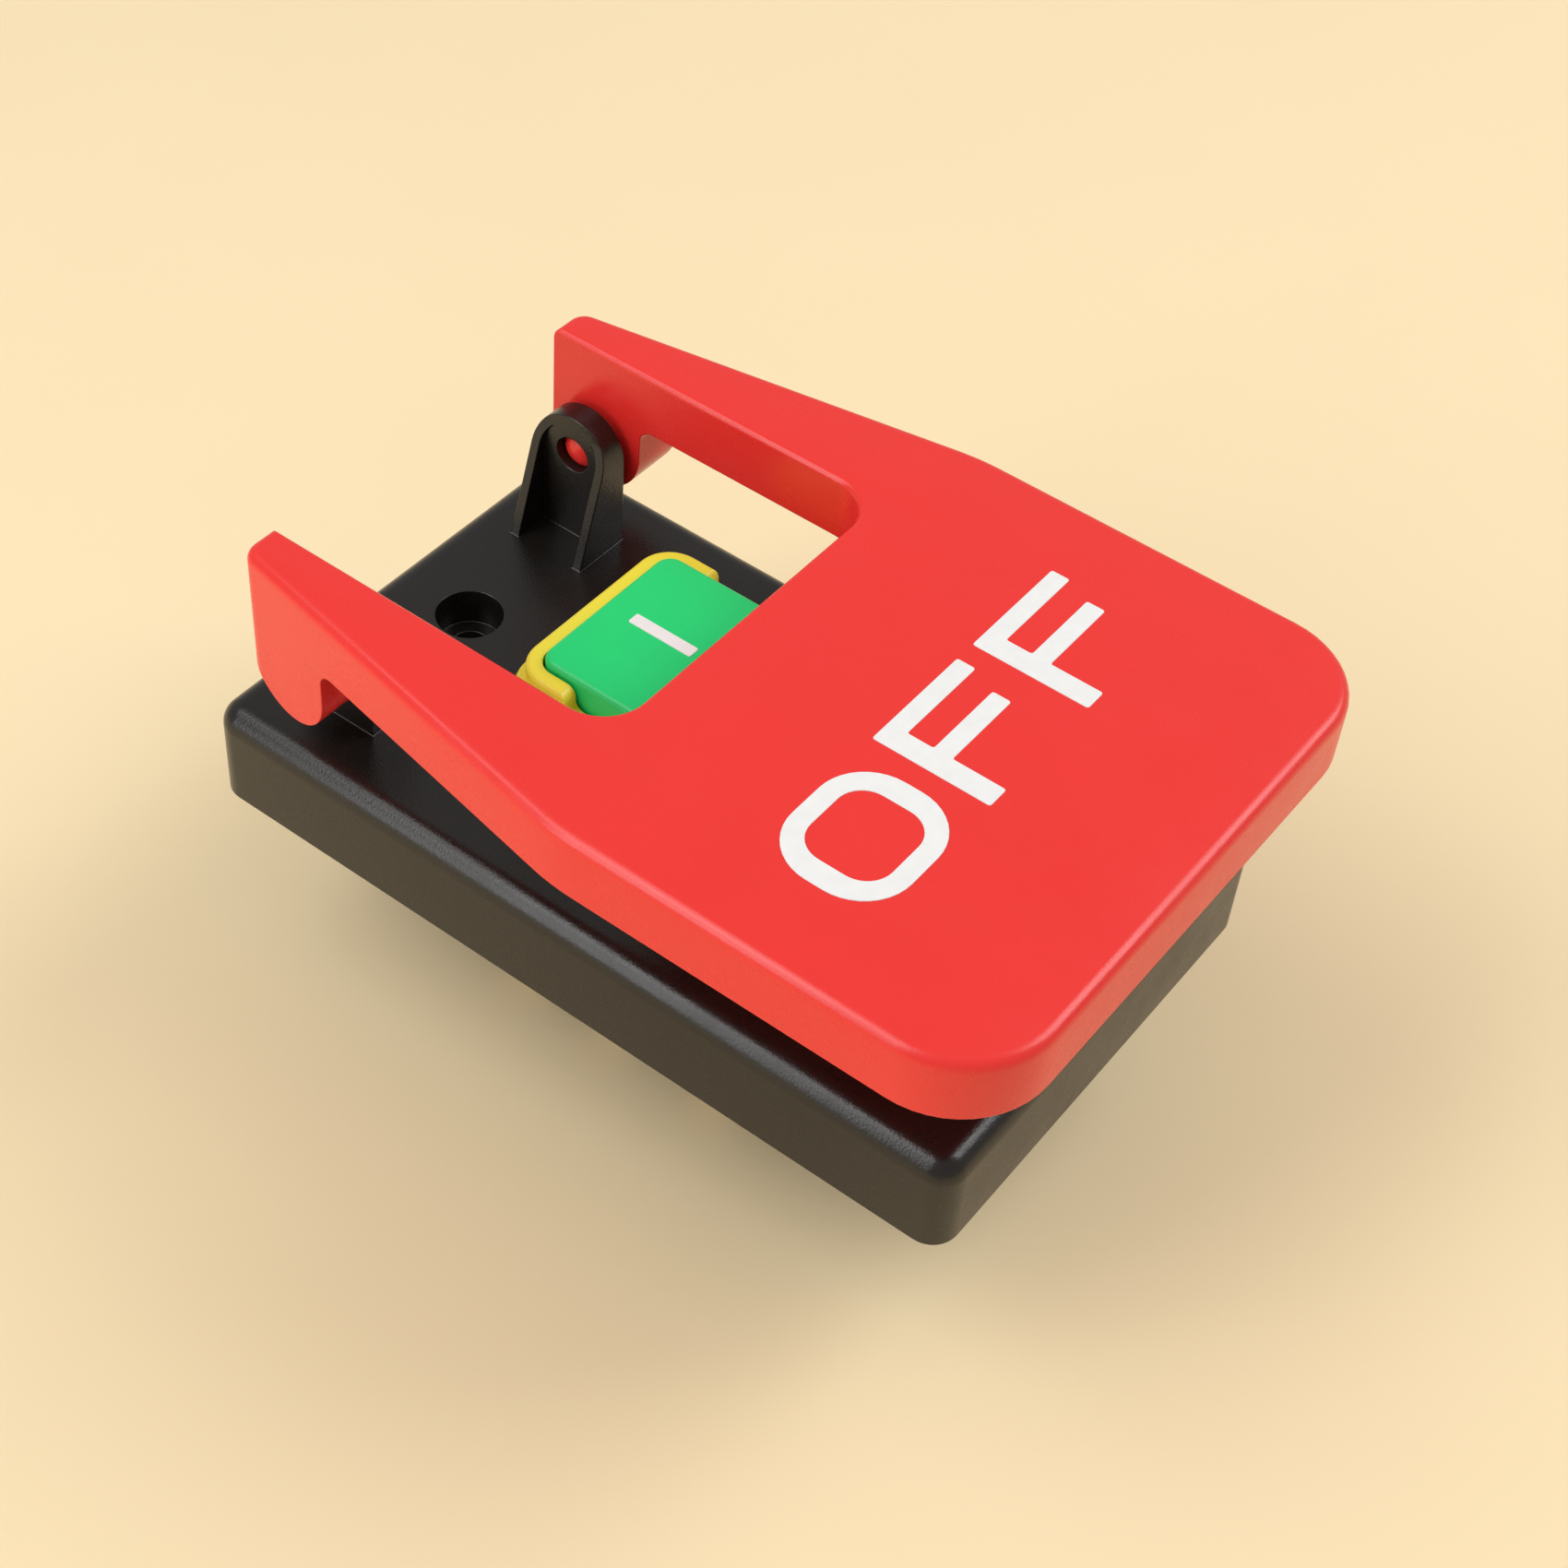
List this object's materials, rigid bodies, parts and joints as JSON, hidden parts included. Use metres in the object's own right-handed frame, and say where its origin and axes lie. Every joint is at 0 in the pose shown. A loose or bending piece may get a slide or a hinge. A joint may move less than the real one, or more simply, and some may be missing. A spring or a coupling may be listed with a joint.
{
  "type": "emergency stop switch",
  "caption": "Panel-mount emergency stop switch: a hinged red stop paddle over a guarded green start button, on a no-volt-release contact block.",
  "frame": {"origin": "middle of the front housing's back, in the panel face, between the two panel screws", "axes": "+X to the right when the paddle's word is read, +Y along the housing towards the hinge, +Z out of the panel"},
  "size_m": [0.0772, 0.1113, 0.0641],
  "materials": {
    "housing_black": "satin",
    "paddle_red": "satin",
    "start_green": "satin",
    "stop_red": "satin",
    "surround_yellow": "satin",
    "case_grey": "matte",
    "carrier_plastic": "matte",
    "bobbin_plastic": "matte",
    "spring_steel": "bright",
    "core_steel": "satin",
    "screw_steel": "zinc plated",
    "terminal_brass": "satin",
    "contact_silver": "satin",
    "winding_copper": "enamelled",
    "letter_white": "satin"
  },
  "bodies": {
    "housing": {"front_housing": "housing_black", "button_surround": "surround_yellow", "switch_case": "case_grey", "terminal_base": "case_grey", "case_screws": "screw_steel", "cover_screws": "screw_steel", "line_terminals": "terminal_brass", "load_terminals": "terminal_brass", "stop_terminals": "terminal_brass", "fixed_tips": "contact_silver", "magnet_core": "core_steel", "coil_bobbin": "bobbin_plastic", "coil_winding": "winding_copper", "start_spring": "spring_steel", "stop_spring": "spring_steel", "carrier_springs": "spring_steel"},
    "stop_paddle": {"paddle": "paddle_red"},
    "start": {"start_button": "start_green"},
    "stop": {"stop_button": "stop_red", "stop_bridge": "terminal_brass", "stop_tips": "contact_silver", "stop_clip": "spring_steel"},
    "carrier": {"contact_carrier": "carrier_plastic", "moving_bridges": "terminal_brass", "moving_tips": "contact_silver", "contact_springs": "spring_steel", "armature": "core_steel"}
  },
  "joints": [
    {"name": "paddle_press", "type": "hinge", "parent": "housing", "child": "stop_paddle", "pos_m": [0, 0.0404, 0.0258], "axis": [-1, 0, 0], "range_deg": [-3.33, 0]},
    {"name": "start_press", "type": "slide", "parent": "housing", "child": "start", "axis": [0, 0, 1], "range_m": [-0.003, 0], "stiffness_N_per_m": 400, "springref_m": 0.006, "deforming": ["start_spring"]},
    {"name": "stop_press", "type": "slide", "parent": "housing", "child": "stop", "axis": [0, 0, 1], "range_m": [-0.003, 0], "stiffness_N_per_m": 250, "springref_m": 0.004, "deforming": ["stop_spring"]},
    {"name": "carrier_slide", "type": "slide", "parent": "housing", "child": "carrier", "axis": [0, 0, 1], "range_m": [-0.003, 0], "stiffness_N_per_m": 300, "springref_m": 0.005, "deforming": ["carrier_springs"]}
  ],
  "couplings": [
    {"joint": "stop_press", "follows": "paddle_press", "m_per_rad": 0.0516},
    {"joint": "carrier_slide", "follows": "start_press", "ratio": 1}
  ]
}
